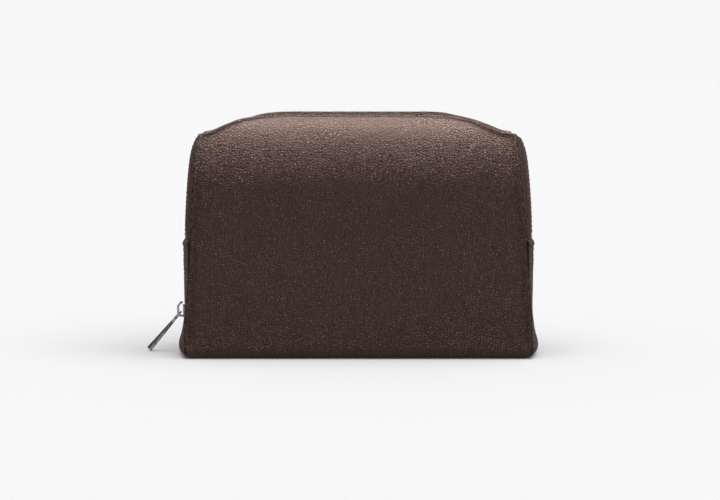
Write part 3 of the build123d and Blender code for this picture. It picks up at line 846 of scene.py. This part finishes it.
for half in HALF:
    piece = panel(half, WALL_LINING, LINING_CLOTH, f"{half}_lining_wall", inner_cloth, 60, 80, detail=False)
    bends(piece, half, "lining_cloth", f"{half}_upper_lining", "lining_tub")
    wall_cut()
    piece = strip(half, GUSSET_LINING, LINING_CLOTH, f"{half}_lining_strip", inner_cloth, LINING_SLOT,
                  detail=False)
    bends(piece, half, "lining_cloth")
    gusset_cut(lambda q: np.full_like(q, LINING_SLOT), -STRIP_END, STRIP_END)
    for hand, word in ((-1, "left"), (1, "right")):
        piece = side_piece(half, hand, GUSSET_LINING, LINING_CLOTH, f"{word}_lining_side_{half}",
                           inner_cloth, detail=False)
        bends(piece, half, "lining_cloth")
        gusset_cut(slot_shape, LIP_END, side_length_at(LINING_LOW))

# ---- inside pocket, on the back wall ----
POCKET_LOW, POCKET_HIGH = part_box("slip_pocket")
BINDING_LOW, BINDING_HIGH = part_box("pocket_binding")
PATCH_LOW, PATCH_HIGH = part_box("leather_patch")
POCKET_INSET = 4.6           # pocket cloth behind the leather's outer face
POCKET_SLACK = 1.1           # how far the pocket's mouth hangs off the wall
PATCH_ROUND = 3.0
POCKET_STITCH_IN = 2.0       # stitches, in from the pocket's and the patch's edges
POCKET_CLOTH = 0.6


def pocket_surface(x, z, off=0.0):
    """Points on the pocket's cloth, and the directions into the bag."""
    half_length, low = POCKET_HIGH.x / MM, POCKET_LOW.z / MM
    wall = np.interp(z, DENSE_Z, DENSE_Y) - SAG * hill(z, SAG_Z, SAG_SPREAD)
    hang = POCKET_SLACK * np.sin(np.clip((x + half_length) / (2 * half_length), 0, 1) * math.pi) ** 0.6
    y = wall - POCKET_INSET - hang * smoothstep(low, POCKET_HIGH.z / MM, z) - off
    return np.stack([x, y, z], -1), np.tile([0.0, -1.0, 0.0], x.shape + (1,))


def pocket_piece(name, low, high, off, front, back, material, columns, rows, round_off=0.0):
    """A flat piece on the pocket between two corners, with rounded corners if asked for."""
    z = spaced(low.z / MM, high.z / MM, rows, 1.3)
    cut = round_off - np.minimum(np.minimum(z - z[0], z[-1] - z), round_off)
    half = high.x / MM - round_off + np.sqrt(np.maximum(round_off ** 2 - cut ** 2, 0))
    X = spaced(-1, 1, columns, 1.3)[:, None] * half[None, :]
    Z = np.tile(z, (columns, 1))
    p, n = pocket_surface(X, Z, off)
    edge = np.minimum(np.minimum(Z - z[0], z[-1] - Z), half[None, :] - np.abs(X))
    wave = ripple(p, 14, 0.22, 50.0 + rows) * smoothstep(0, 5, edge)
    wear_and_highlight = hill(edge, 0.0, 0.8)
    return shell(name, p, n, front + wave, back - wave, material, np.stack([X, Z], -1), wear_and_highlight=wear_and_highlight)


pocket = pocket_piece("slip_pocket_cloth", POCKET_LOW, POCKET_HIGH, 0.0, POCKET_CLOTH / 2, POCKET_CLOTH / 2,
                      inner_cloth, 90, 40)
bends(pocket, "back", "lining_cloth", "slip_pocket")
rim = pocket_piece("pocket_rim", BINDING_LOW, BINDING_HIGH, POCKET_CLOTH, 0.55, 0.3, trim, 110, 16)
bends(rim, "back", "leather", "pocket_binding")
badge = pocket_piece("pocket_patch", PATCH_LOW, PATCH_HIGH, POCKET_CLOTH, 0.75, 0.3, trim, 60, 30,
                     PATCH_ROUND)
bends(badge, "back", "leather", "leather_patch")


def pocket_stitches(name, x, z, off):
    """Stitches along a line on the pocket's cloth."""
    p, n = pocket_surface(np.asarray(x, float), np.asarray(z, float), off)
    return bends(stitches(name, p, n, 2.2, 0.8, 0.22), "back", "leather")


rim_end = POCKET_HIGH.x / MM - POCKET_STITCH_IN
rim_x = np.linspace(-rim_end, rim_end, 200)
rim_low = BINDING_LOW.z / MM + 1.6
rim_stitches = pocket_stitches("pocket_rim_stitches", rim_x, np.full(200, rim_low), 1.25)
foot_z = POCKET_LOW.z / MM + POCKET_STITCH_IN
side_z = np.linspace(foot_z, BINDING_LOW.z / MM - 1.0, 80)
edge_stitches = [pocket_stitches(f"pocket_{word}_stitches", np.full(80, hand * rim_end), side_z, 0.4)
                 for hand, word in ((-1, "left"), (1, "right"))]
foot_stitches = pocket_stitches("pocket_foot_stitches", rim_x, np.full(200, foot_z), 0.4)
turn = np.linspace(0, 2 * math.pi, 260)
box_x = (PATCH_HIGH.x / MM - POCKET_STITCH_IN) * np.clip(1.35 * np.cos(turn), -1, 1)
middle_z = (PATCH_LOW.z + PATCH_HIGH.z) / 2 / MM
box_half = (PATCH_HIGH.z - PATCH_LOW.z) / 2 / MM - POCKET_STITCH_IN
box_z = middle_z + box_half * np.clip(1.35 * np.sin(turn), -1, 1)
patch_stitches = pocket_stitches("patch_stitches", box_x, box_z, 1.45)

# ---- carried-over parts ----
def finish_node(name, material, bevel=0.0, segments=3):
    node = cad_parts[name]
    node.data.materials.clear()
    node.data.materials.append(material)
    if bevel:
        made = node.modifiers.new("edges", "BEVEL")
        made.width = bevel * MM
        made.segments = segments
        made.limit_method = "ANGLE"
        made.angle_limit = math.radians(35)
    return node


finish_node("slider_body", gunmetal, 0.22)
finish_node("slider_crown", gunmetal, 0.25)
finish_node("lock_spring", gunmetal, 0.08)
finish_node("pull_rod", gunmetal, 0.12)
finish_node("zip_top_stops", gunmetal, 0.3)
finish_node("zip_bottom_stop", gunmetal, 0.4)
finish_node("base_board", fibre_board, 0.4)

# ---- floor, light and camera ----
floor_mesh = bpy.data.meshes.new("studio_floor")
FLOOR_REACH = 30.0           # in metres
corners = [(x * FLOOR_REACH, y * FLOOR_REACH, 0) for x, y in ((-1, -1), (1, -1), (1, 1), (-1, 1))]
floor_mesh.from_pydata(corners, [], [(0, 1, 2, 3)])
floor = bpy.data.objects.new("studio_floor", floor_mesh)
bpy.context.scene.collection.objects.link(floor)
paper = Mat("studio_paper")
PAPER_GLOW = 0.03
paper.set(Base_Color=(0.888, 0.888, 0.888, 1), Roughness=0.9, Specular_IOR_Level=0.0,
          Emission_Color=(1, 1, 1, 1), Emission_Strength=PAPER_GLOW)
floor_mesh.materials.append(paper.mat)

world = bpy.data.worlds.new("studio")
bpy.context.scene.world = world
world.use_nodes = True
wt = world.node_tree
back = wt.nodes["Background"]
back.inputs["Color"].default_value = (1, 1, 1, 1)
WORLD_LIGHT, WORLD_SEEN, WORLD_IN_GLOSS = 0.34, 0.925, 0.16
back.inputs["Strength"].default_value = WORLD_LIGHT
seen = wt.nodes.new("ShaderNodeBackground")
seen.inputs["Color"].default_value = (1, 1, 1, 1)
seen.inputs["Strength"].default_value = WORLD_SEEN
ray = wt.nodes.new("ShaderNodeLightPath")
either = wt.nodes.new("ShaderNodeMixShader")
wt.links.new(ray.outputs["Is Camera Ray"], either.inputs[0])
wt.links.new(back.outputs[0], either.inputs[1])
wt.links.new(seen.outputs[0], either.inputs[2])
dim = wt.nodes.new("ShaderNodeBackground")
dim.inputs["Color"].default_value = (1, 1, 1, 1)
dim.inputs["Strength"].default_value = WORLD_IN_GLOSS
gloss = wt.nodes.new("ShaderNodeMixShader")
wt.links.new(ray.outputs["Is Glossy Ray"], gloss.inputs[0])
wt.links.new(either.outputs[0], gloss.inputs[1])
wt.links.new(dim.outputs[0], gloss.inputs[2])
wt.links.new(gloss.outputs[0], wt.nodes["World Output"].inputs[0])


def sun(name, azimuth, elevation, spread, strength):
    """A far soft light. Azimuth 0 is behind the camera and 180 behind the bag."""
    data = bpy.data.lights.new(name, "SUN")
    data.angle = math.radians(spread)
    data.energy = strength
    lamp = bpy.data.objects.new(name, data)
    bpy.context.scene.collection.objects.link(lamp)
    turn, rise = math.radians(azimuth), math.radians(elevation)
    towards = Vector((math.sin(turn) * math.cos(rise), -math.cos(turn) * math.cos(rise), math.sin(rise)))
    lamp.rotation_euler = towards.to_track_quat("Z", "Y").to_euler()
    return lamp


sun("overhead_soft", 32, 70, 80, 2.3)
sheen_light = sun("sheen_soft", 178, 67, 72, 10.3)
sheen_light.data.color = (1.0, 0.80, 0.74)
sheen_light.visible_diffuse = False

camera_data = bpy.data.cameras.new("camera")
camera = bpy.data.objects.new("camera", camera_data)
bpy.context.scene.collection.objects.link(camera)
ELEVATION = math.radians(4.75)
DISTANCE = 1.6
target = Vector((1.1 * MM, -half_depth * MM, 79.2 * MM))
camera.location = target + DISTANCE * Vector((0, -math.cos(ELEVATION), math.sin(ELEVATION)))
camera.rotation_euler = (target - camera.location).to_track_quat("-Z", "Y").to_euler()
camera_data.sensor_width = 36.0
camera_data.lens = 111.7
bpy.context.scene.camera = camera
bpy.context.scene.view_settings.view_transform = "Standard"
